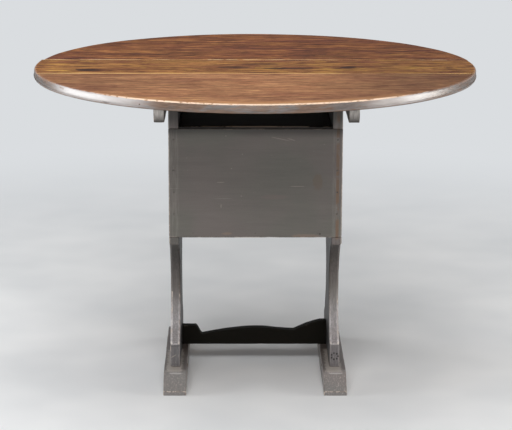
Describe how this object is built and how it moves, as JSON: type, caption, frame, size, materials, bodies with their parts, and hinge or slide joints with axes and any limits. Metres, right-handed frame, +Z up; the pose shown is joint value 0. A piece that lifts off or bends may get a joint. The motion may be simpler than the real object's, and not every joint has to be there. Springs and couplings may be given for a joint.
{
  "type": "chair_table",
  "caption": "Round-topped pine chair table: the top tips up on two wooden pins to make a back for the lidded box seat, on board sides with curved cuts, shoe feet and a scalloped stretcher",
  "frame": {"origin": "on the floor under the middle of the round top, which is the middle of the whole table", "axes": "+Z up, -Y to the front, where the lid opens, +X to the right seen from the front"},
  "size_m": [0.995, 0.995, 0.711],
  "materials": {
    "top_pine": "old scrubbed pine with worn brown stain",
    "grey_painted_pine": "worn warm grey paint on pine",
    "bare_pine": "unpainted aged pine",
    "pin_hardwood": "turned hardwood, bare and handled",
    "iron": "dark forged iron with light rust"
  },
  "bodies": {
    "base": {"pivot_pin_left": "pin_hardwood", "pivot_pin_right": "pin_hardwood", "side_left": "grey_painted_pine", "side_right": "grey_painted_pine", "foot_left": "grey_painted_pine", "foot_right": "grey_painted_pine", "foot_pegs": "pin_hardwood", "stretcher": "grey_painted_pine", "front_board": "grey_painted_pine", "front_board_nails": "iron", "back_board": "grey_painted_pine", "back_board_nails": "iron", "bottom_board": "bare_pine", "bottom_board_nails": "iron", "lid_rest_left": "bare_pine", "lid_rest_right": "bare_pine", "lid_rest_nails": "iron", "lid_rail": "grey_painted_pine", "lid_rail_nails": "iron", "hinge_rail_leaves": "iron", "hinge_rail_screws": "iron", "hinge_pins": "iron"},
    "top": {"top_board_front": "top_pine", "top_board_middle": "top_pine", "top_board_back": "top_pine", "cleat_left": "grey_painted_pine", "cleat_right": "grey_painted_pine", "cleat_nails": "iron"},
    "lid": {"lid": "grey_painted_pine", "hinge_lid_leaves": "iron", "hinge_lid_screws": "iron"}
  },
  "joints": [
    {"name": "top_tilt", "type": "hinge", "parent": "base", "child": "top", "pos_m": [0, 0.1574, 0.666], "axis": [-1, 0, 0], "range_deg": [0, 90]},
    {"name": "lid_hinge", "type": "hinge", "parent": "base", "child": "lid", "pos_m": [0, 0.112, 0.6029], "axis": [-1, 0, 0], "range_deg": [0, 19]}
  ]
}
